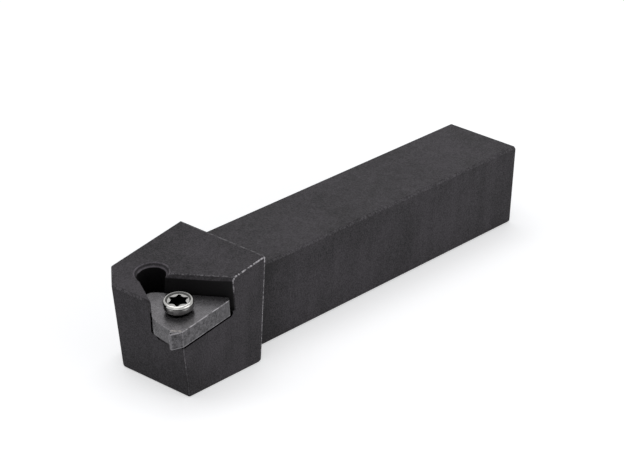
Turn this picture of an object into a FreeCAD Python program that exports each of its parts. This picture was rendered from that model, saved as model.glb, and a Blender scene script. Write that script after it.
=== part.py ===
# Right-hand external threading tool holder with its laydown insert and insert screw.
# Millimetres. X across the tool, +X on the cutting side. Y along it, the head toward -Y. +Z up.
# Origin: middle of the bottom seating face of the shank.

import FreeCAD, Part
import Sketcher
import math
import os

V = FreeCAD.Vector
doc = FreeCAD.newDocument("threading_tool_holder")

# Driving dimensions: name, value, note
SIZES = [
    # Shank and head block
    ("shank_width", 16.0, "square shank, across"),
    ("shank_height", 16.0, "square shank, upright"),
    ("shank_length", 77.3, "rear end to the shoulder of the head"),
    ("shank_bevel", 0.45, "bevel on the long edges and the rear end"),
    ("head_width", 19.65, "head block across, flush with the shank on the left"),
    ("head_length_low", 18.2, "shoulder to the front face at the bottom"),
    ("front_lean", 11.0, "degrees that the front face leans forward"),
    ("head_back_height", 20.25, "top of the head at the shoulder"),
    ("head_top_slope", 9.45, "degrees that the top falls toward the front"),
    ("corner_cut", 4.26, "legs of the flat on the front left corner"),
    ("head_round", 0.4, "worn rounding of the head's outer edges"),
    # Pocket and insert
    ("pocket_inset", 4.41, "insert axis from the head's right side, at the pocket floor"),
    ("pocket_forward", 16.19, "insert axis from the shoulder, at the pocket floor"),
    ("pocket_drop", 4.78, "insert axis below the top of the shank, at the pocket floor"),
    ("pocket_tilt", 9.1, "degrees that the floor falls toward the front"),
    ("helix_tilt", 1.15, "degrees that the floor falls toward the cutting side"),
    ("wall_relief", 4.6, "degrees that the back wall leans away from the insert"),
    ("relief_radius", 2.45, "hole that clears the inner corner of the pocket"),
    ("relief_shift", 0.15, "its centre along the left wall from the corner"),
    ("lip_bevel", 0.5, "bevel round the relief hole and along the back wall"),
    ("insert_circle", 9.525, "inscribed circle of the triangular insert"),
    ("insert_thickness", 3.05, "insert, seat to top"),
    ("inner_corner_radius", 1.85, "rounded corner in the pocket"),
    ("rear_corner_radius", 0.45, "rounded corner at the right rear"),
    ("shoulder_radius", 1.2, "corner between the shoulder and the left side"),
    ("nose_forward", 6.1, "insert axis to the nose, toward the front"),
    ("nose_side", 3.55, "insert axis to the middle of the nose, across"),
    ("nose_width", 0.35, "flat on the nose"),
    ("thread_angle", 60.0, "degrees, full angle of the tooth"),
    ("shoulder_forward", 5.15, "insert axis to the foot of the tooth"),
    ("shoulder_slant", 7.6, "degrees that the shoulder falls back from the tooth"),
    ("insert_bore_radius", 1.55, "hole in the insert"),
    ("insert_mouth_radius", 2.3, "open end of the hole in the insert"),
    ("mouth_depth", 0.28, "wide part of the hole's mouth"),
    ("seat_land", 0.15, "cone on which the screw bears"),
    ("edge_hone", 0.07, "honed bevel round the top of the insert"),
    # Screw
    ("screw_cone", 40.0, "degrees, half angle under the head"),
    ("head_radius", 2.6, "screw head"),
    ("head_side", 1.01, "straight side of the head under its rim"),
    ("under_round", 0.45, "rounding between the side and the cone"),
    ("rim_round", 0.42, "rounding of the rim"),
    ("rim_land", 0.05, "flat ring on top of the rim"),
    ("dish_depth", 0.25, "dished top inside the ring"),
    ("thread_radius", 1.5, "threaded part of the screw"),
    ("thread_depth", 6.4, "screw below the pocket floor"),
    ("tapped_depth", 7.4, "tapped hole below the pocket floor"),
    ("screw_point", 0.35, "bevel at the end of the screw"),
    ("drive_outer", 3.6, "six-lobe recess across its points"),
    ("drive_inner", 2.58, "six-lobe recess across its valleys"),
    ("drive_point_radius", 0.29, "rounding of the recess points"),
    ("drive_depth", 1.3, "depth of the recess"),
    ("drive_turn", 6.4, "degrees that the recess is turned, as the screw stopped"),
]

size = {name: value for name, value, note in SIZES}
sheet = doc.addObject("Spreadsheet::Sheet", "spec")
for row, (name, value, note) in enumerate(SIZES, start=1):
    sheet.set("A%d" % row, note)
    sheet.set("B%d" % row, repr(value))
    sheet.setAlias("B%d" % row, name)
doc.recompute()

START_CIRCLE = 40.0
DRIVE_LOBES = 6
SMALL = 0.1
COS = math.cos(math.radians(30))
SIN = math.sin(math.radians(30))


def tan(degrees):
    return math.tan(math.radians(degrees))


def make_body(name):
    body = doc.addObject("PartDesign::Body", name)
    body.Label = name
    return body


def plane_of(body, role):
    return [f for f in body.Origin.OriginFeatures if f.Role == role][0]


def sketch_on(body, name, role, offset=None):
    """A sketch on one of the body's own planes, with an optional placement formula."""
    sketch = body.newObject("Sketcher::SketchObject", name)
    sketch.AttachmentSupport = [(plane_of(body, role), "")]
    sketch.MapMode = "FlatFace"
    if offset:
        sketch.setExpression("AttachmentOffset", offset)
    return sketch


def outline(sketch, points):
    """A closed outline. Each point is a pair of formulas in the sizes."""
    count = len(points)
    for i in range(count):
        a = 2 * math.pi * i / count
        b = 2 * math.pi * (i + 1) / count
        start = V(START_CIRCLE * math.cos(a), START_CIRCLE * math.sin(a), 0)
        end = V(START_CIRCLE * math.cos(b), START_CIRCLE * math.sin(b), 0)
        sketch.addGeometry(Part.LineSegment(start, end), False)
    for i in range(count):
        sketch.addConstraint(Sketcher.Constraint("Coincident", i, 2, (i + 1) % count, 1))
    for i, (across, along) in enumerate(points):
        for kind, formula in (("DistanceX", across), ("DistanceY", along)):
            index = sketch.addConstraint(Sketcher.Constraint(kind, -1, 1, i, 1, 1.0))
            sketch.setExpression("Constraints[%d]" % index, formula)


def circle(sketch, across, along, radius):
    """A circle whose centre and radius are formulas in the sizes."""
    item = sketch.addGeometry(Part.Circle(V(1, 1, 0), V(0, 0, 1), 1), False)
    for kind, formula in (("DistanceX", across), ("DistanceY", along)):
        index = sketch.addConstraint(Sketcher.Constraint(kind, -1, 1, item, 3, 1.0))
        sketch.setExpression("Constraints[%d]" % index, formula)
    index = sketch.addConstraint(Sketcher.Constraint("Radius", item, 1.0))
    sketch.setExpression("Constraints[%d]" % index, radius)


def pad(body, name, sketch, formula, back=False):
    feature = body.newObject("PartDesign::Pad", name)
    feature.Profile = sketch
    feature.setExpression("Length", formula)
    feature.Reversed = back
    doc.recompute()
    return feature


def pocket(body, name, sketch, formula, upward=True):
    feature = body.newObject("PartDesign::Pocket", name)
    feature.Profile = sketch
    feature.setExpression("Length", formula)
    feature.Reversed = upward
    doc.recompute()
    return feature


def edges_where(feature, test):
    """Names of the edges whose mid-point and direction pass a test."""
    names = []
    for number, edge in enumerate(feature.Shape.Edges, start=1):
        middle = edge.valueAt(0.5 * (edge.FirstParameter + edge.LastParameter))
        if test(edge, middle):
            names.append("Edge%d" % number)
    return names


def dress(body, kind, name, base, names, formula):
    feature = body.newObject("PartDesign::" + kind, name)
    feature.Base = (base, names)
    feature.Refine = False
    feature.setExpression("Radius" if kind == "Fillet" else "Size", formula)
    doc.recompute()
    return feature


def near(a, b):
    return abs(a - b) < 1e-4


# Positions that follow from the sizes
LEFT = -size["shank_width"] / 2
RIGHT = size["shank_width"] / 2
HEAD_RIGHT = LEFT + size["head_width"]
REAR = size["shank_length"] / 2
SHOULDER = -size["shank_length"] / 2
POCKET_FRAME = ("placement(vector(spec.head_width - spec.shank_width / 2 - spec.pocket_inset;"
                " -spec.shank_length / 2 - spec.pocket_forward; spec.shank_height - spec.pocket_drop);"
                " rotation(0; spec.helix_tilt; spec.pocket_tilt))")
F_LEFT = "-spec.shank_width / 2"
F_SHOULDER = "-spec.shank_length / 2"
F_LOW_FRONT = "-spec.shank_length / 2 - spec.head_length_low"

# Holder: head block as a side outline run across, then the shank
holder = make_body("tool_holder")
head_side = sketch_on(holder, "head_side", "YZ_Plane",
                      "placement(vector(0; 0; -spec.shank_width / 2); rotation(0; 0; 0))")
TOP_FRONT_Z = ("((spec.head_back_height - spec.head_length_low * tan(spec.head_top_slope))"
               " / (1 + tan(spec.head_top_slope) * tan(spec.front_lean)))")
outline(head_side, [
    (F_SHOULDER, "0"),
    (F_SHOULDER, "spec.head_back_height"),
    (F_LOW_FRONT + " - tan(spec.front_lean) * " + TOP_FRONT_Z, TOP_FRONT_Z),
    (F_LOW_FRONT, "0"),
])
head_block = pad(holder, "head_block", head_side, "spec.head_width")

shank_end = sketch_on(holder, "shank_end", "XZ_Plane",
                      "placement(vector(0; 0; spec.shank_length / 2); rotation(0; 0; 0))")
outline(shank_end, [
    (F_LEFT, "0"),
    ("spec.shank_width / 2", "0"),
    ("spec.shank_width / 2", "spec.shank_height"),
    (F_LEFT, "spec.shank_height"),
])
shank = pad(holder, "shank", shank_end, "spec.shank_length", back=True)


def is_front_left(edge, middle):
    upright = middle.z > SMALL and middle.z < size["head_back_height"] / 2 + SMALL
    return near(middle.x, LEFT) and middle.y < SHOULDER - size["head_length_low"] and upright


corner = dress(holder, "Chamfer", "front_left_flat", shank, edges_where(shank, is_front_left),
               "spec.corner_cut")


def is_shank_edge(edge, middle):
    if near(middle.y, REAR):
        return True
    along = near(edge.Vertexes[0].X, edge.Vertexes[-1].X)
    upper = near(middle.z, size["shank_height"])
    side = near(middle.x, RIGHT) and near(middle.z, 0)
    return middle.y > SHOULDER + SMALL and along and (upper or side)


bevelled = dress(holder, "Chamfer", "shank_bevels", corner, edges_where(corner, is_shank_edge),
                 "spec.shank_bevel")


def is_head_edge(edge, middle):
    if max(vertex.Y for vertex in edge.Vertexes) > SHOULDER + SMALL:
        return near(middle.x, LEFT) and near(middle.z, 0)
    if not near(middle.y, SHOULDER):
        return True
    return near(middle.x, HEAD_RIGHT) or near(middle.z, size["head_back_height"])


rounded = dress(holder, "Fillet", "head_rounds", bevelled, edges_where(bevelled, is_head_edge),
                "spec.head_round")

# Pocket: a sixty degree mouth normal to its tilted floor, open to the front and the right
pocket_mouth = sketch_on(holder, "pocket_mouth", "XY_Plane", POCKET_FRAME)
FAR = "spec.shank_length"
BACK_FAR = "(" + FAR + " + spec.insert_circle) * tan(30)"
outline(pocket_mouth, [
    ("-spec.insert_circle", "0"),
    (FAR, "-" + BACK_FAR),
    (FAR, BACK_FAR),
])
pocket_cut = pocket(holder, "pocket_cut", pocket_mouth, "spec.shank_height")

relief_hole = sketch_on(holder, "relief_hole", "XY_Plane", POCKET_FRAME)
HOLE_X = "(-spec.insert_circle + spec.relief_shift * cos(30) + spec.relief_radius * sin(30))"
HOLE_Y = "(-spec.relief_shift * sin(30) + spec.relief_radius * cos(30))"
circle(relief_hole, HOLE_X, HOLE_Y, "spec.relief_radius")
relief_cut = pocket(holder, "relief_cut", relief_hole, "spec.shank_height")

# The back wall leans away from the insert, so only its foot bears
back_strip = sketch_on(holder, "back_strip", "XY_Plane", POCKET_FRAME)
STRIP_X = "(-spec.insert_circle + spec.relief_radius * cos(30))"
STRIP_Y = "spec.relief_radius * sin(30)"
outline(back_strip, [
    (STRIP_X, STRIP_Y),
    (FAR, BACK_FAR),
    (FAR, BACK_FAR + " - spec.relief_radius"),
    (STRIP_X, STRIP_Y + " - spec.relief_radius"),
])
wall_cut = holder.newObject("PartDesign::Pocket", "back_wall_relief")
wall_cut.Profile = back_strip
wall_cut.setExpression("Length", "spec.shank_height")
wall_cut.UseCustomVector = True
wall_cut.AlongSketchNormal = False
lean = size["pocket_tilt"] - size["wall_relief"]
wall_cut.Direction = V(0, -math.sin(math.radians(lean)), math.cos(math.radians(lean)))
wall_cut.Reversed = False
doc.recompute()
if near(wall_cut.Shape.Volume, relief_cut.Shape.Volume):
    wall_cut.Reversed = True
    doc.recompute()

# Bevelled lip: a cone round the relief hole and a sloped strip along the back wall
turn = FreeCAD.Rotation(0, size["helix_tilt"], size["pocket_tilt"])
pocket_origin = V(HEAD_RIGHT - size["pocket_inset"], SHOULDER - size["pocket_forward"],
                  size["shank_height"] - size["pocket_drop"])
floor_normal = turn.multVec(V(0, 0, 1))
top_fall = tan(size["head_top_slope"])


def height_to_top(point, direction):
    """Distance from a point along a direction to the sloping top of the head."""
    gap = size["head_back_height"] + (point.y - SHOULDER) * top_fall - point.z
    return gap / (direction.z - direction.y * top_fall)


hole_x = -size["insert_circle"] + size["relief_shift"] * COS + size["relief_radius"] * SIN
hole_y = -size["relief_shift"] * SIN + size["relief_radius"] * COS
hole_along = hole_x * COS + hole_y * SIN
hole_foot = pocket_origin + turn.multVec(V(hole_x, hole_y, 0))
lip_height = "%.6f" % height_to_top(hole_foot, floor_normal)
lip_turned = sketch_on(holder, "lip_turned", "XY_Plane",
                       POCKET_FRAME + " * placement(vector(" + HOLE_X + "; " + HOLE_Y + "; 0);"
                       " rotation(0; 0; 90))")
outline(lip_turned, [
    ("spec.relief_radius - spec.lip_bevel / 2", lip_height + " - spec.lip_bevel * 3 / 2"),
    ("spec.relief_radius + spec.lip_bevel * 2", lip_height + " + spec.lip_bevel"),
    ("spec.relief_radius - spec.lip_bevel / 2", lip_height + " + spec.lip_bevel"),
])
lip_round = holder.newObject("PartDesign::Groove", "lip_round")
lip_round.Profile = lip_turned
lip_round.ReferenceAxis = (lip_turned, ["V_Axis"])
lip_round.Angle = 360
doc.recompute()

wall_direction = V(0, -math.sin(math.radians(lean)), math.cos(math.radians(lean)))
half_circle = size["insert_circle"] / 2


def wall_top(along):
    """A point of the back wall's upper edge, in the frame of the head's top."""
    local = V(-half_circle * SIN + along * COS, half_circle * COS + along * SIN, 0)
    foot = pocket_origin + turn.multVec(local)
    point = foot + wall_direction * height_to_top(foot, wall_direction)
    return V(point.x, (point.y - SHOULDER) / math.cos(math.radians(size["head_top_slope"])), 0)


start = wall_top(hole_along)
finish = wall_top(size["head_width"])
run = (finish - start).normalize()
outward = V(-run.y, run.x, 0)
corners = [start + outward * size["lip_bevel"], finish + outward * size["lip_bevel"],
           finish - outward * size["relief_radius"], start - outward * size["relief_radius"]]
lip_strip = sketch_on(holder, "lip_strip", "XY_Plane",
                      "placement(vector(0; -spec.shank_length / 2; spec.head_back_height);"
                      " rotation(0; 0; spec.head_top_slope))")
outline(lip_strip, [("%.6f" % corner.x, "%.6f" % corner.y) for corner in corners])
lip_wall = pocket(holder, "lip_wall", lip_strip, "spec.lip_bevel", upward=False)
lip_wall.TaperAngle = -45
doc.recompute()

# Tapped hole for the insert screw, normal to the pocket floor and blind
tapped = sketch_on(holder, "tapped_hole", "XY_Plane", POCKET_FRAME)
circle(tapped, "0", "0", "spec.thread_radius")
tapped_cut = pocket(holder, "tapped_cut", tapped, "spec.tapped_depth", upward=False)
holder.Tip = tapped_cut

# Insert: a triangle with one ground tooth, drawn in the pocket's frame
insert = make_body("threading_insert")
insert.setExpression("Placement", POCKET_FRAME)
plan = sketch_on(insert, "insert_plan", "XY_Plane")
FLANK = "tan(spec.thread_angle / 2)"
FOOT_X = ("(spec.nose_side - spec.nose_width / 2"
          " - (spec.nose_forward - spec.shoulder_forward) * " + FLANK + ")")
CORNER_X = ("((spec.shoulder_forward - spec.insert_circle * tan(30) - " + FOOT_X +
            " * tan(spec.shoulder_slant)) / (tan(30) - tan(spec.shoulder_slant)))")
outline(plan, [
    ("-spec.insert_circle", "0"),
    (CORNER_X, "-(" + CORNER_X + " + spec.insert_circle) * tan(30)"),
    (FOOT_X, "-spec.shoulder_forward"),
    ("spec.nose_side - spec.nose_width / 2", "-spec.nose_forward"),
    ("spec.nose_side + spec.nose_width / 2", "-spec.nose_forward"),
    ("spec.insert_circle / 2",
     "-spec.nose_forward + (spec.insert_circle / 2 - spec.nose_side - spec.nose_width / 2) / "
     + FLANK),
    ("spec.insert_circle / 2", "spec.insert_circle * cos(30)"),
])
blank = pad(insert, "insert_blank", plan, "spec.insert_thickness")


def upright_at(test):
    def check(edge, middle):
        upright = len(edge.Vertexes) == 2 and near(middle.z, size["insert_thickness"] / 2)
        return upright and test(middle)
    return check


def in_pocket_corner(middle):
    return near(middle.x, -size["insert_circle"])


def at_right_rear(middle):
    return middle.x > half_circle - SMALL and middle.y > half_circle


def at_shoulder(middle):
    return -half_circle < middle.x < 0 and middle.y < -size["insert_bore_radius"]


inner = dress(insert, "Fillet", "inner_corner", blank,
              edges_where(blank, upright_at(in_pocket_corner)), "spec.inner_corner_radius")
rear = dress(insert, "Fillet", "rear_corner", inner,
             edges_where(inner, upright_at(at_right_rear)), "spec.rear_corner_radius")
front = dress(insert, "Fillet", "shoulder_corner", rear,
              edges_where(rear, upright_at(at_shoulder)), "spec.shoulder_radius")

bore_half = sketch_on(insert, "insert_bore", "XZ_Plane")
outline(bore_half, [
    ("0", "0"),
    ("spec.insert_bore_radius", "0"),
    ("spec.insert_bore_radius", "spec.insert_thickness - spec.mouth_depth - spec.seat_land"),
    ("spec.insert_bore_radius + spec.seat_land * tan(spec.screw_cone)",
     "spec.insert_thickness - spec.mouth_depth"),
    ("spec.insert_mouth_radius", "spec.insert_thickness"),
    ("0", "spec.insert_thickness"),
])
bore = insert.newObject("PartDesign::Groove", "insert_bore_cut")
bore.Profile = bore_half
bore.ReferenceAxis = (bore_half, ["V_Axis"])
bore.Angle = 360
doc.recompute()


def is_top_outline(edge, middle):
    off_axis = math.hypot(middle.x, middle.y)
    on_top = near(edge.Vertexes[0].Z, size["insert_thickness"]) and near(middle.z, size["insert_thickness"])
    return on_top and off_axis > size["insert_mouth_radius"] + SMALL


hone = dress(insert, "Chamfer", "edge_hone_cut", bore, edges_where(bore, is_top_outline),
             "spec.edge_hone")
insert.Tip = hone

# Screw: a turned head on a cone that bears on the seat in the insert
screw = make_body("insert_screw")
screw.setExpression("Placement", POCKET_FRAME)
turned = sketch_on(screw, "screw_half", "XZ_Plane")
SEAT_Z = "(spec.insert_thickness - spec.mouth_depth - spec.seat_land)"
CONE_FOOT = SEAT_Z + " - (spec.insert_bore_radius - spec.thread_radius) / tan(spec.screw_cone)"
CONE_TOP = SEAT_Z + " + (spec.head_radius - spec.insert_bore_radius) / tan(spec.screw_cone)"
outline(turned, [
    ("0", "-spec.thread_depth"),
    ("spec.thread_radius - spec.screw_point", "-spec.thread_depth"),
    ("spec.thread_radius", "-spec.thread_depth + spec.screw_point"),
    ("spec.thread_radius", CONE_FOOT),
    ("spec.head_radius", CONE_TOP),
    ("spec.head_radius", CONE_TOP + " + spec.head_side + spec.rim_round"),
    ("spec.head_radius - spec.rim_round - spec.rim_land",
     CONE_TOP + " + spec.head_side + spec.rim_round"),
    ("spec.head_radius - spec.rim_round - spec.rim_land - spec.dish_depth",
     CONE_TOP + " + spec.head_side + spec.rim_round - spec.dish_depth"),
    ("0", CONE_TOP + " + spec.head_side + spec.rim_round - spec.dish_depth"),
])
lathe = screw.newObject("PartDesign::Revolution", "screw_turned")
lathe.Profile = turned
lathe.ReferenceAxis = (turned, ["V_Axis"])
lathe.Angle = 360
doc.recompute()

seat_z = size["insert_thickness"] - size["mouth_depth"] - size["seat_land"]
cone_top = seat_z + (size["head_radius"] - size["insert_bore_radius"]) / tan(size["screw_cone"])
head_top = cone_top + size["head_side"] + size["rim_round"]


def is_rim(edge, middle):
    return near(edge.BoundBox.ZLength, 0) and near(middle.z, head_top) and near(
        edge.BoundBox.XLength, 2 * size["head_radius"])


def is_under(edge, middle):
    return near(edge.BoundBox.ZLength, 0) and near(middle.z, cone_top)


rim = dress(screw, "Fillet", "screw_rim", lathe, edges_where(lathe, is_rim), "spec.rim_round")
under = dress(screw, "Fillet", "screw_under", rim, edges_where(rim, is_under), "spec.under_round")

# Six-lobe recess: point arcs and valley arcs that run into each other
point_centre = size["drive_outer"] / 2 - size["drive_point_radius"]
half_inner = size["drive_inner"] / 2
lobe_angle = math.pi / DRIVE_LOBES
reach_cos = point_centre * math.cos(lobe_angle)
valley_radius = (
    (size["drive_point_radius"] ** 2 - point_centre ** 2 - half_inner ** 2 + 2 * half_inner * reach_cos)
    / (2 * (half_inner - reach_cos - size["drive_point_radius"])))
valley_centre = half_inner + valley_radius
recess = sketch_on(screw, "drive_recess", "XY_Plane",
                   "placement(vector(0; 0; " + CONE_TOP + " + spec.head_side + spec.rim_round);"
                   " rotation(spec.drive_turn; 0; 0))")


def polar(radius, angle):
    return V(radius * math.cos(angle), radius * math.sin(angle), 0)


def meeting(point_angle, valley_angle):
    """Where a point arc and the valley arc beside it touch."""
    a, b = polar(point_centre, point_angle), polar(valley_centre, valley_angle)
    return a + (b - a) * (size["drive_point_radius"] / (size["drive_point_radius"] + valley_radius))


for i in range(DRIVE_LOBES):
    point_angle = 2 * lobe_angle * i
    before = meeting(point_angle, point_angle - lobe_angle)
    after = meeting(point_angle, point_angle + lobe_angle)
    onward = meeting(point_angle + 2 * lobe_angle, point_angle + lobe_angle)
    tip = polar(size["drive_outer"] / 2, point_angle)
    valley = polar(half_inner, point_angle + lobe_angle)
    recess.addGeometry(Part.Arc(before, tip, after), False)
    recess.addGeometry(Part.Arc(after, valley, onward), False)
for i in range(2 * DRIVE_LOBES):
    recess.addConstraint(Sketcher.Constraint("Block", i))
drive = pocket(screw, "drive_cut", recess, "spec.drive_depth", upward=False)
screw.Tip = drive
doc.recompute()

# Checks, then one file for each piece
for item in doc.Objects:
    bad = [word for word in item.State if word in ("Invalid", "Error")]
    assert not bad, (item.Name, item.State)
pieces = [holder, insert, screw]
os.makedirs("parts", exist_ok=True)
for body in pieces:
    shape = body.Shape
    assert not shape.isNull() and shape.isValid() and len(shape.Solids) == 1, body.Label
    shape.exportStep("parts/%s.step" % body.Label)
    box = shape.BoundBox
    print(body.Label, "volume %.1f" % shape.Volume,
          "x %.2f %.2f y %.2f %.2f z %.2f %.2f" % (box.XMin, box.XMax, box.YMin, box.YMax,
                                                   box.ZMin, box.ZMax))
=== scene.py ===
import math
from functools import reduce

import bmesh
import bpy
from mathutils import Matrix, Vector


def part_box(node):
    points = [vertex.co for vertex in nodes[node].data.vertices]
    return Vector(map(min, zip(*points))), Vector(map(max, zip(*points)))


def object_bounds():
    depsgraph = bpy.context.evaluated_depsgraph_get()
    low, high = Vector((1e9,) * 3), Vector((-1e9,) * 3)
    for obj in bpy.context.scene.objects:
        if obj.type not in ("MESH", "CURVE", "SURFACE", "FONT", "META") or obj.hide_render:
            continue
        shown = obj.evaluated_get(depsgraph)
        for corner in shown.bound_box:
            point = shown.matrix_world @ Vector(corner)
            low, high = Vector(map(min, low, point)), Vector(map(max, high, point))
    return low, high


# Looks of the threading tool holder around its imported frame.
# Metres in the row frame: +Y along the shank to its rear, +X the cutting side, +Z up.

MM = 0.001

# Camera, as fitted to the photograph
CAMERA_PLACE = (0.25872, -0.33075, 0.20494)
CAMERA_YAW = 39.106
CAMERA_PITCH = -25.148
CAMERA_ROLL = 2.857
CAMERA_LENS = 145.42
CAMERA_NEAR = 0.01
CAMERA_FAR = 10.0
SENSOR_WIDTH = 36.0

# Lights: name, where it stands from the object's middle, size across and along, strength, colour
WORLD_LEVEL = 0.36
WORLD_COLOUR = (0.98, 0.985, 1.0)
LAMPS = [
    ("overhead_softbox", (-0.2, -0.1, 0.72), (0.6, 0.6), 1.8, (1.0, 1.0, 1.0)),
    ("rear_strip", (-0.25, 0.3, 0.75), (0.4, 0.12), 0.6, (1.0, 1.0, 1.0)),
    ("right_softbox", (0.75, 0.15, 0.2), (0.6, 0.5), 1.7, (1.0, 0.99, 0.98)),
    ("front_softbox", (0.3, -0.75, 0.25), (0.5, 0.4), 0.75, (1.0, 1.0, 1.0)),
]

# Floor: what it shows of the lamps' light, and the white that is added for the camera.
# It lies a little low, so that it and the holder's bottom are not in one plane.
FLOOR_SIZE = 3.0
FLOOR_DROP = 0.02 * MM
FLOOR_SHADE = (0.74, 0.745, 0.76)
FLOOR_GLOW = 0.495
FLOOR_BOUNCE = 0.6

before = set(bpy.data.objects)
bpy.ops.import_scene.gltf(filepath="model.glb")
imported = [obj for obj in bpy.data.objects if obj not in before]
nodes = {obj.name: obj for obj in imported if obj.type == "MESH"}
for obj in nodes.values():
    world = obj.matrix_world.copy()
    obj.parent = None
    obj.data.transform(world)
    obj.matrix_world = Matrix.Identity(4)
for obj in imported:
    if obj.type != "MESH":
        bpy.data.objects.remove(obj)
cad_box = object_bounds()
scene = bpy.context.scene


class Nodes:
    """Short calls for building one node tree."""

    def __init__(self, tree):
        self.tree = tree

    def put(self, socket, value):
        """Give an input a value, or another node's output."""
        if isinstance(value, bpy.types.NodeSocket):
            self.tree.links.new(value, socket)
        else:
            socket.default_value = value

    def add(self, kind, inputs=(), **settings):
        """A node with its settings and inputs. An input is a value or another node's output."""
        node = self.tree.nodes.new(kind)
        for name, value in settings.items():
            setattr(node, name, value)
        for key, value in dict(inputs).items():
            self.put(node.inputs[key], value)
        return node

    def math(self, operation, a, b=0.0, clamp=False):
        return self.add("ShaderNodeMath", {0: a, 1: b}, operation=operation,
                        use_clamp=clamp).outputs[0]

    def fold(self, operation, values):
        """One value from several, two at a time."""
        return reduce(lambda a, b: self.math(operation, a, b), values)

    def vector(self, operation, a, b=(0, 0, 0), output="Vector"):
        return self.add("ShaderNodeVectorMath", {0: a, 1: b},
                        operation=operation).outputs[output]

    def dot(self, a, b):
        return self.vector("DOT_PRODUCT", a, b, output="Value")

    def away(self, offset, direction, reach):
        """How far the end of an offset lies from the point at reach along a direction."""
        foot = self.add("ShaderNodeVectorMath", {0: direction, "Scale": reach},
                        operation="SCALE").outputs["Vector"]
        return self.vector("LENGTH", self.vector("SUBTRACT", offset, foot), output="Value")

    def noise(self, where, scale, detail, roughness):
        return self.add("ShaderNodeTexNoise",
                        {"Vector": where, "Scale": scale, "Detail": detail,
                         "Roughness": roughness}).outputs["Fac"]

    def split(self, where):
        parts = self.add("ShaderNodeSeparateXYZ", {0: where}).outputs
        return parts["X"], parts["Y"], parts["Z"]

    def remap(self, value, low, high, to_low=0.0, to_high=1.0):
        return self.add("ShaderNodeMapRange",
                        {"Value": value, "From Min": low, "From Max": high,
                         "To Min": to_low, "To Max": to_high}).outputs["Result"]

    def fade(self, length, zero_at, one_at):
        """A mask that goes from 0 to 1 between two lengths in millimetres."""
        return self.remap(length, zero_at * MM, one_at * MM)

    def mix(self, factor, a, b):
        return self.add("ShaderNodeMix", {0: factor, 6: a, 7: b}, data_type="RGBA").outputs[2]

    def bump(self, height, distance):
        return self.add("ShaderNodeBump", {"Height": height, "Distance": distance,
                                           "Strength": 1.0}).outputs["Normal"]

    def near_line(self, where, start, end, core, reach_out):
        """1 up to core millimetres from the line between two points, falling to 0 at reach_out."""
        start, end = Vector(start), Vector(end)
        along = (end - start).normalized()
        offset = self.vector("SUBTRACT", where, start)
        reach = self.math("MAXIMUM", self.dot(offset, along), 0.0)
        reach = self.math("MINIMUM", reach, (end - start).length)
        return self.fade(self.away(offset, along, reach), reach_out, core)

    def near_lines(self, where, lines):
        """The strongest mask of several lines, each with a strength as its last value."""
        return self.fold("MAXIMUM", [self.math("MULTIPLY", self.near_line(where, *line), strength)
                                     for *line, strength in lines])


def grey(level, tint=(1.0, 1.0, 1.0)):
    return tuple(level * t for t in tint) + (1.0,)


def shades(n, tone, level, spread, tint):
    """A grey which the tone takes from the lower to the higher share of its level."""
    low, high = spread
    return n.mix(tone, grey(level * low, tint), grey(level * high, tint))


def new_material(name):
    """A material, its Nodes and the place of the shaded point."""
    material = bpy.data.materials.new(name)
    material.use_nodes = True
    n = Nodes(material.node_tree)
    return material, n, n.add("ShaderNodeTexCoord").outputs["Object"]


def dress(node, material, n, look):
    """Set the inputs of the material's shader, and give the material to a CAD node."""
    shader = next(part for part in n.tree.nodes if part.type == "BSDF_PRINCIPLED")
    for name, value in look.items():
        n.put(shader.inputs[name], value)
    slots = nodes[node].data.materials
    if not len(slots):
        slots.append(material)
    for index in range(len(slots)):
        slots[index] = material


# Corners of the holder, from the frame's own box. The shank is square, and the shoulder lies as
# far before the origin as the rear end lies behind it.
holder_low, holder_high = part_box("tool_holder")
LEFT, FRONT = holder_low[0], holder_low[1]
HEAD_RIGHT, REAR, HEAD_TOP = holder_high[0], holder_high[1], holder_high[2]
SHANK_RIGHT = -LEFT
SHANK_TOP = -2 * LEFT
SHOULDER = -REAR

# The head: slope of its top, lean of its front, its front's bottom edge, the flat cut off its left
# front corner and the rounding of its top edges
TOP_SLOPE = math.radians(9.45)
LEAN = math.radians(11.0)
FRONT_LEAN = math.tan(LEAN)
LOW_FRONT = SHOULDER - 18.2 * MM
CORNER_CUT = 4.26 * MM
ROUND = 0.12 * MM
top_out = Vector((0, -math.sin(TOP_SLOPE), math.cos(TOP_SLOPE)))
front_out = Vector((0, -math.cos(LEAN), -math.sin(LEAN)))


def on_top(across, along):
    """A point as far under the head's sloping top as the rounding of its edges reaches."""
    return (across, along, HEAD_TOP - (SHOULDER - along) * math.tan(TOP_SLOPE) - ROUND)


def on_front_edge(height):
    """A point of the front's right edge, at a height in millimetres."""
    return (HEAD_RIGHT, LOW_FRONT - FRONT_LEAN * height * MM, height * MM)


# Frame of the pocket: origin on its floor under the insert's axis, and its three directions
POCKET_TILT = math.radians(9.1)
HELIX_TILT = math.radians(1.15)
POCKET_FROM_SIDE = 4.41 * MM
POCKET_FROM_SHOULDER = 16.19 * MM
POCKET_UNDER_SHANK = 4.78 * MM
pocket_turn = Matrix.Rotation(HELIX_TILT, 3, "Y") @ Matrix.Rotation(POCKET_TILT, 3, "X")
pocket_origin = Vector((HEAD_RIGHT - POCKET_FROM_SIDE, SHOULDER - POCKET_FROM_SHOULDER,
                        SHANK_TOP - POCKET_UNDER_SHANK))
floor_up = pocket_turn @ Vector((0, 0, 1))
SIN_30 = 0.5
COS_30 = math.cos(math.radians(30))
TAN_30 = math.tan(math.radians(30))

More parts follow.
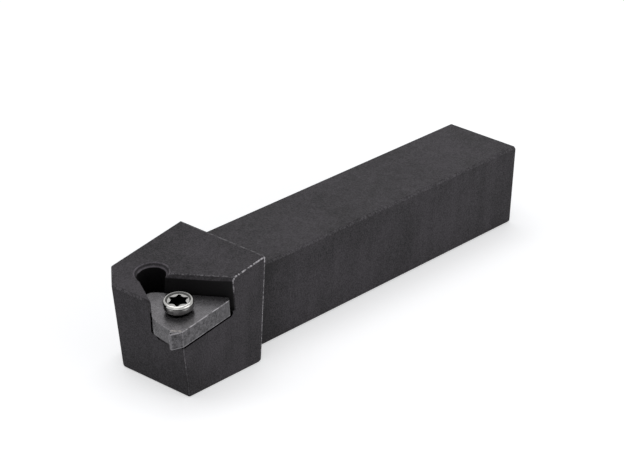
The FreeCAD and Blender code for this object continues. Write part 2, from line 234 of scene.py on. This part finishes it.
# The insert in the pocket's frame, in millimetres
INSERT_CIRCLE = 9.525
INSERT_HIGH = 3.05
SIDE, SIDE_FRONT, SIDE_REAR = INSERT_CIRCLE / 2, -4.3, 7.9
NOSE_LEFT, NOSE_RIGHT, NOSE_FRONT = 3.375, 3.725, -6.1
SHOULDER_FOOT = (2.83, -5.15)
SHOULDER_LEFT = (-0.9, -4.65)


def in_pocket(across, along, height):
    """A point given in millimetres in the pocket's frame."""
    return pocket_origin + pocket_turn @ Vector((across, along, height)) * MM


def pocket_polar(n, where, centre):
    """Height over the pocket floor, and distance from the upright line through a point of it."""
    offset = n.vector("SUBTRACT", where, centre)
    height = n.dot(offset, floor_up)
    return height, n.away(offset, floor_up, height)


# Back wall of the pocket, the lip over it and the relief hole at its end, as the photograph shows
# them: further back than in their solid, with the wall clear of the insert at the cutting side.
# Millimetres from the line where the solid's wall meets the floor, at places along that line.
WALL_START, LIP_START, WALL_END = 3.2, 4.0, 18.0
WALL_FOOT = {WALL_START: 0.0, WALL_END: 0.95}
WALL_HIGH = {WALL_START: 1.38, WALL_END: 1.02}
WALL_REACH = 8.0
LIP_BACK = 1.34
LIP_WIDE = {LIP_START: 0.32, WALL_END: 0.55}
HOLE_PLACE = (2.32, 1.48)
HOLE_RADIUS = 2.43
HOLE_LIP = 0.6


def on_wall(along, away, height):
    """A point along the back wall, away from the line of its foot, above the floor."""
    return in_pocket(-INSERT_CIRCLE + along * COS_30 - away * SIN_30,
                     along * SIN_30 + away * COS_30, height)


def up_to_top(point):
    """The place on the head's sloping top straight above a point of the pocket floor."""
    gap = (Vector((0, SHOULDER, HEAD_TOP)) - point).dot(top_out) / floor_up.dot(top_out)
    return point + floor_up * gap


def lip_upper(along):
    """A point of the lip's edge on the head's top."""
    return up_to_top(on_wall(along, LIP_BACK, 0))


def lip_lower(along):
    """A point of the lip's edge on the back wall, as far down as the lip is wide."""
    wide = LIP_WIDE[along]
    return up_to_top(on_wall(along, LIP_BACK - wide, 0)) - floor_up * wide * MM


def at_right(start, end):
    """Where a line passes through the plane of the head's right side."""
    return start + (end - start) * ((HEAD_RIGHT - start.x) / (end.x - start.x))


def left_wall_end(height):
    """Where the left wall of the pocket meets the front face, at a height in millimetres."""
    start = in_pocket(-INSERT_CIRCLE, 0, height)
    run = pocket_turn @ Vector((COS_30, -SIN_30, 0))
    return start + run * ((Vector((0, LOW_FRONT, 0)) - start).dot(front_out) / run.dot(front_out))


# Edges where the oxide has worn off. A rounded edge is bare up to ON_ROUND from its sharp corner,
# and up to ON_FACE where the wear reaches on to the faces beside it. Of the back wall's end, the
# share WORN_WALL is worn. The front's top edge ends at FRONT_END, where the pocket starts.
ON_ROUND = 0.18
ON_FACE = 0.42
ON_BEVEL = 0.36
ON_SHARP = 0.05
WORN_WALL = 0.4
WORN_CORNER = 0.9 * MM
FRONT_END = 3.4 * MM
top_corner = (HEAD_RIGHT, SHOULDER, HEAD_TOP)
under_top_corner = (HEAD_RIGHT, SHOULDER, HEAD_TOP - WORN_CORNER)
lip_corner = at_right(lip_upper(LIP_START), lip_upper(WALL_END))
wall_upper = at_right(lip_lower(LIP_START), lip_lower(WALL_END))
wall_foot = at_right(on_wall(WALL_START, WALL_FOOT[WALL_START], 0),
                     on_wall(WALL_END, WALL_FOOT[WALL_END], 0))
wall_lower = wall_upper.lerp(wall_foot, WORN_WALL)
flat_rear = on_top(LEFT, FRONT + CORNER_CUT)
flat_front = on_top(LEFT + CORNER_CUT, FRONT)
front_end = on_top(FRONT_END, FRONT)
shank_corner = (SHANK_RIGHT, REAR, SHANK_TOP)
shank_left_corner = (LEFT, REAR, SHANK_TOP)
EDGE_WEAR = [
    # Start, end, bare up to, fading to, strength
    (on_top(LEFT, SHOULDER), top_corner, ON_FACE, 0.7, 0.2),
    (top_corner, lip_corner, ON_ROUND, 0.21, 0.8),
    (top_corner, (HEAD_RIGHT, SHOULDER, 0.0), ON_FACE, 0.48, 0.55),
    (top_corner, under_top_corner, ON_FACE, 0.6, 1.0),
    (lip_corner, wall_upper, 0.1, 0.2, 0.9),
    (wall_upper, wall_lower, ON_SHARP, 0.17, 0.8),
    (lip_upper(LIP_START + 1), lip_corner, ON_SHARP, 0.16, 0.22),
    (on_front_edge(0), on_front_edge(6), ON_ROUND, 0.24, 0.1),
    (on_front_edge(6), on_front_edge(10), ON_ROUND, 0.22, 0.25),
    (on_top(LEFT, SHOULDER), flat_rear, ON_ROUND, 0.3, 0.1),
    (flat_rear, flat_front, ON_ROUND, 0.3, 0.12),
    (flat_front, front_end, ON_ROUND, 0.3, 0.12),
    ((SHANK_RIGHT, SHOULDER, SHANK_TOP), shank_corner, ON_BEVEL, 0.46, 0.07),
    ((LEFT, SHOULDER, SHANK_TOP), shank_left_corner, ON_BEVEL, 0.5, 0.08),
    (shank_left_corner, shank_corner, ON_BEVEL, 0.5, 0.16),
    (shank_corner, (SHANK_RIGHT, REAR, 0.0), ON_BEVEL, 0.5, 0.16),
]

# Painted shadow on the head round the insert: black bands where shade falls under its right side,
# at the end of the left wall and on the front face under its left flank
UNDER_FLANK = ((5.3, -58.89, 10.45), (6.1, -58.74, 9.7), (7.7, -58.68, 9.4))
SHADOW_SEAM_REAR = 7.6
SHADOW_SEAM_OVER_INSERT = 0.6
under_flank = [Vector(place) * MM for place in UNDER_FLANK]
shadow_seam_front = in_pocket(SIDE, SIDE_FRONT, 0)
shadow_seam_rear = in_pocket(SIDE, SHADOW_SEAM_REAR, 0)
SHADOW_SEAMS = [
    # Start, end, black up to, fading to, strength
    ((HEAD_RIGHT, shadow_seam_front.y, shadow_seam_front.z), (HEAD_RIGHT, shadow_seam_rear.y, shadow_seam_rear.z),
     0.66, 0.72, 1.0),
    (left_wall_end(0), left_wall_end(INSERT_HIGH + SHADOW_SEAM_OVER_INSERT), 0.32, 0.4, 1.0),
    (left_wall_end(0), under_flank[0], 0.34, 0.42, 1.0),
    (under_flank[0], under_flank[1], 0.14, 0.22, 1.0),
    (under_flank[1], under_flank[2], 0.03, 0.1, 1.0),
]

# Faces of the head, as a point on each and its outward direction. What lies deeper inside them
# gets the painted shade of the pocket's walls. The bottom is not among them, so the head's gets
# that painted shade too.
LIP_DEPTH = 0.42 * MM
FLAT_POINT = (LEFT, LOW_FRONT + CORNER_CUT, 0.0)
HEAD_FACES = [
    ((HEAD_RIGHT, 0, 0), (1, 0, 0)),
    ((LEFT, 0, 0), (-1, 0, 0)),
    ((0, SHOULDER, 0), (0, 1, 0)),
    ((0, LOW_FRONT, 0), front_out),
    ((0, SHOULDER, HEAD_TOP - LIP_DEPTH), top_out),
    (FLAT_POINT, (-math.sqrt(0.5), -math.sqrt(0.5), -math.sqrt(0.5) * FRONT_LEAN)),
]

# Black oxide steel of the holder
OXIDE_TINT = (1.05, 0.965, 1.085)
SOFT_TINT = (1.02, 0.985, 1.04)
OXIDE_DARK = 0.009
OXIDE_LIGHT = 0.058
OXIDE_REFLECTS = 0.14
POCKET_PAINTED_SHADE = 0.003
LIP_HIGHLIGHT = 0.12
LIP_DARK = 0.012
WORN = 0.62
OXIDE_NOISE = {
    # Scale, detail, roughness
    "clouds": (110.0, 3.0, 0.6),
    "grain": (3600.0, 2.0, 0.8),
    "coarse": (900.0, 3.0, 0.7),
    "patches": (55.0, 3.0, 0.55),
    "worn": (1900.0, 3.0, 0.8),
}
STREAK_STRETCH = (420.0, 420.0, 45.0)
STREAK_NOISE = (1.0, 3.0, 0.6)
OXIDE_TONE = {
    # Noise from and to, and what it adds to the tone, from and to
    "clouds": (0.35, 0.65, -0.08, 0.16),
    "streaks": (0.3, 0.7, -0.06, 0.18),
    "grain": (0.4, 0.6, 0.08, 0.7),
    "patches": (0.35, 0.65, -0.16, 0.1),
    "coarse": (0.3, 0.7, -0.1, 0.14),
}
OXIDE_ROUGHNESS = (0.3, 0.7, 0.56, 0.66)
COARSE_BUMP = 1.2
OXIDE_BUMP = 0.03 * MM
WORN_PATCHES = (0.44, 0.57, 0.06, 1.0)

# Painted light and shade in the tone: lighter toward the front of the head's top, darker on its
# front face, by the way these faces look, and a painted shadow of the head on the shank's side
# near it.
# Spans are a mask's 0 and 1, or what comes in and goes out.
FACES_UP = (0.97, 0.99)
TOP_FRONT_START = 9 * MM
TOP_FRONT_PAINTED_LIGHT = 0.2
FRONT_PAINTED_SHADE = (0.9, 0.97, 0.0, -0.09)
SHADE_REACH = 11 * MM
SHADE_FADE = 0.5 * MM
SHADE_EDGE = 0.1 * MM
SHADE_TONE = -0.75

# Depth at which the pocket's painted shade starts, and the lip: how far up it faces, how far it
# reaches down, and its dark patches. Depths and widths are millimetres, as a mask's 0 and 1.
POCKET_SHADE_DEPTH = (0.13, 0.25)
LIP_FACES_UP = (0.45, 0.6)
LIP_FACES_ASIDE = (0.96, 0.9)
LIP_REACH = (0.8, 0.6)
LIP_PATCHES = (0.35, 0.65, 0.8, 0.3)

# Painted highlight lines round the relief hole's cone, where it meets the head's top and the hole
OUTER_LINE = (0.14, 0.05)
OUTER_LINE_REACH = (0.25, 0.12)
INNER_LINE = (0.18, 0.06)
INNER_LINE_OUT = 0.1
INNER_LINE_LIGHT = 0.7
LINE_PATCHES = (0.35, 0.6, 0.35, 1.0)


def oxide_tone_and_painted_light(n, where, noise, upward, frontward):
    """How light the oxide is, from 0 to 1, with painted light and shade by how the head's faces
    look and a painted shadow of the head on the shank's side.
    """
    across, along, _ = n.split(where)
    tone = n.fold("ADD", [n.remap(noise[name], *span) for name, span in OXIDE_TONE.items()])
    # Painted light: the head's top lighter toward its front
    top_front_light = n.math("MULTIPLY", n.remap(upward, *FACES_UP),
                       n.remap(along, SHOULDER - TOP_FRONT_START, FRONT))
    # Painted shadow of the head on the shank's side next to it
    head_cast_shadow = n.fold("MULTIPLY", [
        n.remap(along, SHOULDER + SHADE_REACH, SHOULDER),
        n.remap(across, HEAD_RIGHT - SHADE_FADE, SHANK_RIGHT + SHADE_EDGE),
        n.remap(across, SHANK_RIGHT - SHADE_FADE, SHANK_RIGHT),
        n.remap(along, SHOULDER, SHOULDER + SHADE_EDGE)])
    # Painted light on the head's top toward its front, and painted shade on its front face
    tone = n.fold("ADD", [tone, n.math("MULTIPLY", top_front_light, TOP_FRONT_PAINTED_LIGHT),
                          n.remap(frontward, *FRONT_PAINTED_SHADE)])
    return n.math("ADD", tone, n.math("MULTIPLY", head_cast_shadow, SHADE_TONE), clamp=True)


def near_hole_circle(n, from_hole, radius, fade):
    """1 near a circle round the relief hole, whose radius is in millimetres."""
    return n.fade(n.math("ABSOLUTE", n.math("SUBTRACT", from_hole, radius * MM)), *fade)


def hole_highlight_lines(n, where, noise, below_top, on_lip):
    """The painted highlight lines at both ends of the cone round the relief hole."""
    _, from_hole = pocket_polar(n, where, on_wall(*HOLE_PLACE, 0))
    outer = n.math("MULTIPLY", near_hole_circle(n, from_hole, HOLE_RADIUS + HOLE_LIP, OUTER_LINE),
                   n.fade(below_top, *OUTER_LINE_REACH))
    inner = n.fold("MULTIPLY", [
        near_hole_circle(n, from_hole, HOLE_RADIUS + INNER_LINE_OUT, INNER_LINE), on_lip,
        INNER_LINE_LIGHT])
    return n.math("MULTIPLY", n.math("MAXIMUM", outer, inner),
                  n.remap(noise["coarse"], *LINE_PATCHES), clamp=True)


def dress_holder():
    material, n, where = new_material("black_oxide_steel")
    noise = {name: n.noise(where, *pattern) for name, pattern in OXIDE_NOISE.items()}
    noise["streaks"] = n.noise(n.vector("MULTIPLY", where, STREAK_STRETCH), *STREAK_NOISE)
    facing = n.add("ShaderNodeNewGeometry").outputs["True Normal"]
    upward = n.dot(facing, top_out)
    frontward = n.dot(facing, front_out)
    tone = oxide_tone_and_painted_light(n, where, noise, upward, frontward)
    colour = n.mix(tone, grey(OXIDE_DARK, OXIDE_TINT), grey(OXIDE_LIGHT, OXIDE_TINT))

    # Painted shade deep in the pocket, where shade falls
    depth = n.fold("MINIMUM", [n.dot(n.vector("SUBTRACT", where, point),
                                     -Vector(outward).normalized())
                               for point, outward in HEAD_FACES])
    colour = n.mix(n.fade(depth, *POCKET_SHADE_DEPTH), colour, grey(POCKET_PAINTED_SHADE, OXIDE_TINT))
    # Painted shadow: black bands on the head round the insert
    shadow_seam = n.near_lines(where, SHADOW_SEAMS)
    colour = n.mix(shadow_seam, colour, grey(0.0))

    below_top = n.dot(n.vector("SUBTRACT", where, (0, SHOULDER, HEAD_TOP)), -top_out)
    on_lip = n.fold("MULTIPLY", [n.remap(upward, *LIP_FACES_UP), n.remap(upward, *LIP_FACES_ASIDE),
                                 n.fade(below_top, *LIP_REACH)])
    lip_dark = n.math("MULTIPLY", on_lip, n.remap(noise["coarse"], *LIP_PATCHES))
    colour = n.mix(lip_dark, colour, grey(LIP_DARK, OXIDE_TINT))
    # Painted highlight round the relief hole's cone
    lines = hole_highlight_lines(n, where, noise, below_top, on_lip)
    colour = n.mix(lines, colour, grey(LIP_HIGHLIGHT, OXIDE_TINT))

    wear = n.math("MULTIPLY", n.near_lines(where, EDGE_WEAR),
                  n.remap(noise["worn"], *WORN_PATCHES), clamp=True)
    colour = n.mix(wear, colour, grey(WORN, SOFT_TINT))
    height = n.math("ADD", noise["grain"], n.math("MULTIPLY", noise["coarse"], COARSE_BUMP))
    # The painted shadow is a black metal, which reflects nothing
    dress("tool_holder", material, n, {
        "Base Color": colour,
        "Metallic": shadow_seam,
        "Specular Tint": n.mix(shadow_seam, grey(1.0), grey(0.0)),
        "Roughness": n.remap(noise["clouds"], *OXIDE_ROUGHNESS),
        "Specular IOR Level": OXIDE_REFLECTS,
        "Normal": n.bump(height, OXIDE_BUMP),
    })


dress_holder()

# Ground carbide of the insert: its flanks a painted shade of its top, painted highlights along its
# edges, and all of it darker toward the back wall, a painted shade and reflection of that wall. A
# spread is the lowest and highest share of a grey's level.
CARBIDE_TOP = 0.132
CARBIDE_FLANK_PAINTED_SHADE = 0.075
CARBIDE_EDGE_HIGHLIGHT = 0.4
CARBIDE_SHADED = 0.06
CARBIDE_METALLIC = 0.8
TOP_SPREAD = (0.75, 1.25)
FLANK_SPREAD = (0.3, 1.8)
TOP_FACES_UP = (0.75, 0.95)
SHADED_START = 0.8
SHADED_MOST = 0.66
GRIT_NOISE = (2600.0, 3.0, 0.8)
GRIT_TONE = (0.38, 0.62, 0.0, 0.55)
GRIT_ROUGHNESS = (0.3, 0.7, 0.24, 0.34)
GRIT_BUMP = 0.008 * MM
BLOTCH_NOISE = (900.0, 3.0, 0.7)
BLOTCH_TONE = (0.35, 0.65, 0.0, 0.45)
EDGE_NOISE = (700.0, 3.0, 0.7)
EDGE_PATCHES = (0.38, 0.6, 0.15, 1.0)
EDGE_WIDTH = (0.06, 0.16)
INSERT_HIGHLIGHT_EDGES = [
    # Two points of the edge in the insert's frame, strength
    ((SIDE, SIDE_FRONT, INSERT_HIGH), (SIDE, SIDE_REAR, INSERT_HIGH), 1.0),
    ((SIDE, SIDE_FRONT, 0), (SIDE, SIDE_REAR, 0), 0.6),
    ((NOSE_RIGHT, NOSE_FRONT, INSERT_HIGH), (SIDE, SIDE_FRONT, INSERT_HIGH), 0.6),
    ((NOSE_LEFT, NOSE_FRONT, INSERT_HIGH), SHOULDER_FOOT + (INSERT_HIGH,), 0.8),
    ((NOSE_LEFT, NOSE_FRONT, 0), (NOSE_LEFT, NOSE_FRONT, INSERT_HIGH), 0.45),
    ((NOSE_RIGHT, NOSE_FRONT, 0), (NOSE_RIGHT, NOSE_FRONT, INSERT_HIGH), 0.2),
    ((SIDE, SIDE_FRONT, 0), (SIDE, SIDE_FRONT, INSERT_HIGH), 0.3),
    (SHOULDER_FOOT + (INSERT_HIGH,), SHOULDER_LEFT + (INSERT_HIGH,), 0.6),
    ((NOSE_RIGHT, NOSE_FRONT, 0), (SIDE, SIDE_FRONT, 0), 0.5),
]

# Chipped patch on the tooth's shoulder, and the pit at the tooth's tip
CHIP_START, CHIP_END = (3.1, -4.95, INSERT_HIGH), (4.3, -4.3, INSERT_HIGH)
CHIP_WIDTH = (0.08, 0.32)
CHIP_NOISE = (2200.0, 2.0, 0.7)
CHIP_PATCHES = (0.4, 0.58, 0.1, 0.9)
CHIP_COLOUR = grey(0.34, (1.08, 1.0, 0.93))
PIT_START, PIT_END = (3.46, -5.75, INSERT_HIGH), (3.5, -5.75, INSERT_HIGH - 0.1)
PIT_WIDTH = (0.13, 0.23)
PIT_DARK = 0.006


def dress_insert():
    material, n, where = new_material("ground_carbide")
    upward = n.dot(n.add("ShaderNodeNewGeometry").outputs["True Normal"], floor_up)
    grit = n.noise(where, *GRIT_NOISE)
    blotches = n.noise(where, *BLOTCH_NOISE)
    tone = n.math("ADD", n.remap(grit, *GRIT_TONE), n.remap(blotches, *BLOTCH_TONE))
    # Painted shade: flanks darker than the top by the way they face
    colour = n.mix(n.remap(upward, *TOP_FACES_UP),
                   shades(n, tone, CARBIDE_FLANK_PAINTED_SHADE, FLANK_SPREAD, SOFT_TINT),
                   shades(n, tone, CARBIDE_TOP, TOP_SPREAD, SOFT_TINT))
    # Painted shade and reflection of the back wall, darker toward it
    toward_wall = n.dot(n.vector("SUBTRACT", where, pocket_origin),
                        pocket_turn @ Vector((-SIN_30, COS_30, 0)))
    shaded = n.remap(toward_wall, SHADED_START * MM, INSERT_CIRCLE / 2 * MM, 0.0, SHADED_MOST)
    colour = n.mix(shaded, colour, grey(CARBIDE_SHADED, SOFT_TINT))

    # Painted highlights along the insert's edges
    edges = [(in_pocket(*start), in_pocket(*end), *EDGE_WIDTH, strength)
             for start, end, strength in INSERT_HIGHLIGHT_EDGES]
    edge_highlight = n.math("MULTIPLY", n.near_lines(where, edges),
                    n.remap(n.noise(where, *EDGE_NOISE), *EDGE_PATCHES))
    colour = n.mix(edge_highlight, colour, grey(CARBIDE_EDGE_HIGHLIGHT, SOFT_TINT))
    chipped = n.math("MULTIPLY",
                     n.near_line(where, in_pocket(*CHIP_START), in_pocket(*CHIP_END), *CHIP_WIDTH),
                     n.remap(n.noise(where, *CHIP_NOISE), *CHIP_PATCHES))
    colour = n.mix(chipped, colour, CHIP_COLOUR)
    pit = n.near_line(where, in_pocket(*PIT_START), in_pocket(*PIT_END), *PIT_WIDTH)
    colour = n.mix(pit, colour, grey(PIT_DARK))
    dress("threading_insert", material, n, {
        "Base Color": colour,
        "Metallic": CARBIDE_METALLIC,
        "Roughness": n.remap(grit, *GRIT_ROUGHNESS),
        "Normal": n.bump(grit, GRIT_BUMP),
    })


dress_insert()


def carve(node, name, low_ring, high_ring):
    """Cut the solid between two rings of points out of a node's shown shape."""
    count = len(low_ring)
    sides = [(i, (i + 1) % count, (i + 1) % count + count, i + count) for i in range(count)]
    caps = [tuple(range(count)), tuple(range(count, 2 * count))]
    mesh = bpy.data.meshes.new(name)
    mesh.from_pydata(list(low_ring) + list(high_ring), [], caps + sides)
    shape = bmesh.new()
    shape.from_mesh(mesh)
    bmesh.ops.recalc_face_normals(shape, faces=shape.faces)
    shape.to_mesh(mesh)
    shape.free()
    cutter = bpy.data.objects.new(name, mesh)
    scene.collection.objects.link(cutter)
    cutter.hide_render = True
    cutter.hide_viewport = True
    cut = nodes[node].modifiers.new(name, "BOOLEAN")
    cut.object = cutter
    cut.solver = "EXACT"


# Rounder rear corner of the insert, in millimetres of the pocket's frame, its arc in degrees. The
# cutter reaches past the insert's faces and past its corner.
REAR_ROUND = 0.78
REAR_ARC = range(0, 121, 10)
PAST_FACES = 0.5
PAST_CORNER = 1.0
corner = (SIDE, INSERT_CIRCLE * COS_30)
centre = (corner[0] - REAR_ROUND, corner[1] - REAR_ROUND / TAN_30)
past_corner = (corner[0] + PAST_CORNER, corner[1] + PAST_CORNER)
outline = [(centre[0] + REAR_ROUND * math.cos(math.radians(turn)),
            centre[1] + REAR_ROUND * math.sin(math.radians(turn))) for turn in REAR_ARC]
outline += [(centre[0] - REAR_ROUND * SIN_30, past_corner[1]), past_corner,
            (past_corner[0], centre[1])]
carve("threading_insert", "rear_corner_cut", [in_pocket(x, y, -PAST_FACES) for x, y in outline],
      [in_pocket(x, y, INSERT_HIGH + PAST_FACES) for x, y in outline])

# Back wall and lip. The cutters end just above the floor, and reach past the edges.
ABOVE_FLOOR = 0.02
PAST_EDGE = 0.8
PAST_LIP = 3.0


def wall_ring(away, height):
    """Points round the back wall's cutter at one height: on the wall, and in the open pocket."""
    return [on_wall(WALL_START, away[WALL_START], height),
            on_wall(WALL_END, away[WALL_END], height),
            on_wall(WALL_END, -PAST_EDGE, height), on_wall(WALL_START, -PAST_EDGE, height)]


def lip_ring(along):
    """Points round the lip's cutter at one place along the wall."""
    lower, upper = lip_lower(along), lip_upper(along)
    slope = (upper - lower).normalized() * PAST_EDGE * MM
    return [lower - slope, upper + slope, lower + floor_up * PAST_LIP * MM]


carve("tool_holder", "back_wall_cut", wall_ring(WALL_FOOT, ABOVE_FLOOR),
      wall_ring(WALL_HIGH, WALL_REACH))
carve("tool_holder", "back_lip_cut", lip_ring(LIP_START), lip_ring(WALL_END))

# Relief hole, further back than in its solid, and the wider cone round its mouth
HOLE_SIDES = 72
CONE_BELOW = 0.2
CONE_ABOVE = 0.3


def hole_ring(radius, height=0):
    """Points round the relief hole, at a height over the floor."""
    turns = [2 * math.pi * side / HOLE_SIDES for side in range(HOLE_SIDES)]
    return [on_wall(HOLE_PLACE[0] + radius * math.cos(turn),
                    HOLE_PLACE[1] + radius * math.sin(turn), height) for turn in turns]


def cone_ring(wider, under_top):
    """Points round the hole's cone, wider than the hole and so far under the head's top."""
    return [up_to_top(point) - floor_up * under_top * MM
            for point in hole_ring(HOLE_RADIUS + wider)]


carve("tool_holder", "relief_hole_cut", hole_ring(HOLE_RADIUS, ABOVE_FLOOR),
      hole_ring(HOLE_RADIUS, WALL_REACH))
carve("tool_holder", "relief_lip_cut", cone_ring(-CONE_BELOW, HOLE_LIP + CONE_BELOW),
      cone_ring(HOLE_LIP + CONE_ABOVE, -CONE_ABOVE))

# Rounded bottom edges of the head: behind its cutting side, and under the flat at its left front.
# The cutters reach past the edges' ends, and the first stays clear of the shank's side.
OUTSIDE = 0.5
ROUND_STEPS = 12
SHOULDER_ROUND = 1.45
FLAT_ROUND = 0.8
BESIDE_SHANK = 0.01 * MM
PAST_SIDE = 1 * MM
PAST_FRONT = 0.3 * MM


def round_edge(name, start, end, outward, lean, radius):
    """Round a bottom edge. The face over it leans outward by lean for each unit of height."""
    inset = radius * (math.hypot(1, lean) - lean)
    first, last = -math.pi / 2, -math.atan(lean)
    turns = [first + (last - first) * step / ROUND_STEPS for step in range(ROUND_STEPS + 1)]
    profile = [(radius * math.cos(turn) - inset, radius + radius * math.sin(turn))
               for turn in turns]
    out, up = profile[-1]
    profile += [(out + OUTSIDE, up), (out + OUTSIDE, -OUTSIDE), (-inset, -OUTSIDE)]
    outward = Vector(outward).normalized()
    rings = [[Vector(point) + (outward * out + Vector((0, 0, up))) * MM for out, up in profile]
             for point in (start, end)]
    carve("tool_holder", name, *rings)


round_edge("shoulder_edge_cut", (SHANK_RIGHT + BESIDE_SHANK, SHOULDER, 0),
           (HEAD_RIGHT + PAST_SIDE, SHOULDER, 0), (0, 1, 0), 0.0, SHOULDER_ROUND)
round_edge("flat_edge_cut", (LEFT - PAST_SIDE, LOW_FRONT + CORNER_CUT + PAST_SIDE, 0),
           (LEFT + CORNER_CUT + PAST_FRONT, LOW_FRONT - PAST_FRONT, 0), (-1, -1, 0),
           FRONT_LEAN * math.sqrt(0.5), FLAT_ROUND)

# No slivers where the cuts pass close to other edges
SLIVER = 0.004 * MM
for node in ("tool_holder", "threading_insert"):
    nodes[node].modifiers.new("no_slivers", "WELD").merge_threshold = SLIVER

# Bright turned steel of the screw, with painted shade and reflection: darker on the dish's slope,
# a painted shadow under the rim, painted shade on its side, and painted black shade in the recess.
# Pairs are the 0 and 1 of a mask, in millimetres from the screw's axis or over the pocket's floor.
SCREW_STEEL = 0.42
STEEL_SPREAD = (0.95, 1.05)
SCREW_PAINTED_SHADE = 0.08
SIDE_PAINTED_SHADE = 0.26
RECESS_PAINTED_SHADE = 0.006
WARM = (1.0, 0.99, 0.96)
STEEL_NOISE = (3000.0, 2.0, 0.6)
STEEL_TONE = (0.3, 0.7)
STEEL_ROUGHNESS = (0.3, 0.7, 0.13, 0.17)
SLOPE_INNER, SLOPE_OUTER, SLOPE_LOW = (1.82, 1.9), (2.18, 2.12), (4.96, 5.02)
RIM_INNER, RIM_LOW, RIM_HIGH = (2.45, 2.5), (4.7, 4.78), (4.93, 4.86)
SIDE_HIGH = (4.7, 4.2)
RECESS_REACH, RECESS_RIM, RECESS_FLOOR = (1.86, 1.81), (4.93, 4.83), (3.75, 3.85)


def dress_screw():
    material, n, where = new_material("turned_steel")
    grain = n.noise(where, *STEEL_NOISE)
    height, away = pocket_polar(n, where, pocket_origin)
    colour = shades(n, n.remap(grain, *STEEL_TONE), SCREW_STEEL, STEEL_SPREAD, WARM)
    # Painted shade and reflection on the dish's slope
    slope = n.fold("MULTIPLY", [n.fade(away, *SLOPE_INNER), n.fade(away, *SLOPE_OUTER),
                                n.fade(height, *SLOPE_LOW)])
    colour = n.mix(slope, colour, grey(SCREW_PAINTED_SHADE, WARM))
    # Painted shadow under the rim
    under_rim_shade = n.fold("MULTIPLY", [n.fade(height, *RIM_LOW), n.fade(height, *RIM_HIGH),
                                    n.fade(away, *RIM_INNER)])
    colour = n.mix(under_rim_shade, colour, grey(SCREW_PAINTED_SHADE, WARM))
    # Painted shade on the screw's side, darker downward
    colour = n.mix(n.fade(height, *SIDE_HIGH), colour, grey(SIDE_PAINTED_SHADE, WARM))
    # Painted shade: black in the recess
    recess_shade = n.fold("MULTIPLY", [n.fade(away, *RECESS_REACH), n.fade(height, *RECESS_RIM),
                                 n.fade(height, *RECESS_FLOOR)])
    colour = n.mix(recess_shade, colour, grey(RECESS_PAINTED_SHADE))
    dress("insert_screw", material, n, {
        "Base Color": colour,
        "Metallic": 1.0,
        "Roughness": n.remap(grain, *STEEL_ROUGHNESS),
    })


dress_screw()


def show(n, output, lit, seen):
    """A surface for the light that reaches the object, and another for what is seen directly or
    in reflections."""
    path = n.add("ShaderNodeLightPath").outputs
    rays = n.fold("MAXIMUM", [path["Is Camera Ray"], path["Is Glossy Ray"],
                              path["Is Transmission Ray"]])
    mixed = n.add("ShaderNodeMixShader", {0: rays, 1: lit, 2: seen}).outputs[0]
    n.add(output, {"Surface": mixed})


def own_nodes(block):
    """Nodes of a floor or world, cleared of what it starts with."""
    block.use_nodes = True
    block.node_tree.nodes.clear()
    return Nodes(block.node_tree)


# Floor
def add_floor():
    mesh = bpy.data.meshes.new("floor")
    half = FLOOR_SIZE / 2
    corners = [(x * half, y * half, -FLOOR_DROP) for x, y in ((-1, -1), (1, -1), (1, 1), (-1, 1))]
    mesh.from_pydata(corners, [], [(0, 1, 2, 3)])
    floor = bpy.data.objects.new("floor", mesh)
    scene.collection.objects.link(floor)
    material = bpy.data.materials.new("floor")
    n = own_nodes(material)
    bounce = n.add("ShaderNodeBsdfDiffuse", {"Color": grey(FLOOR_BOUNCE)}).outputs[0]
    shade = n.add("ShaderNodeBsdfDiffuse", {"Color": FLOOR_SHADE + (1.0,)}).outputs[0]
    glow = n.add("ShaderNodeEmission", {"Strength": FLOOR_GLOW}).outputs[0]
    shown = n.add("ShaderNodeAddShader", {0: shade, 1: glow}).outputs[0]
    show(n, "ShaderNodeOutputMaterial", bounce, shown)
    mesh.materials.append(material)


add_floor()

# World: the lamps' fill for the object, plain white where it is seen
world = bpy.data.worlds.new("studio")
scene.world = world
n = own_nodes(world)
fill = n.add("ShaderNodeBackground",
             {"Color": WORLD_COLOUR + (1.0,), "Strength": WORLD_LEVEL}).outputs[0]
white = n.add("ShaderNodeBackground", {"Color": grey(1.0), "Strength": 1.0}).outputs[0]
show(n, "ShaderNodeOutputWorld", fill, white)

# Softboxes, aimed at the object's middle
middle = (Vector(cad_box[0]) + Vector(cad_box[1])) / 2
for name, place, extent, strength, colour in LAMPS:
    light = bpy.data.lights.new(name, "AREA")
    light.shape = "RECTANGLE"
    light.size, light.size_y = extent
    light.energy = strength
    light.color = colour
    lamp = bpy.data.objects.new(name, light)
    lamp.location = middle + Vector(place)
    lamp.rotation_euler = (-Vector(place)).to_track_quat("-Z", "Y").to_euler()
    scene.collection.objects.link(lamp)

# Camera
camera = bpy.data.cameras.new("camera")
camera.lens = CAMERA_LENS
camera.sensor_width = SENSOR_WIDTH
camera.sensor_fit = "HORIZONTAL"
camera.clip_start = CAMERA_NEAR
camera.clip_end = CAMERA_FAR
camera_object = bpy.data.objects.new("camera", camera)
scene.collection.objects.link(camera_object)
turn = (Matrix.Rotation(math.radians(CAMERA_YAW), 4, "Z")
        @ Matrix.Rotation(math.radians(90.0 + CAMERA_PITCH), 4, "X")
        @ Matrix.Rotation(math.radians(CAMERA_ROLL), 4, "Z"))
camera_object.matrix_world = Matrix.Translation(CAMERA_PLACE) @ turn
scene.camera = camera_object

scene.view_settings.view_transform = "Standard"
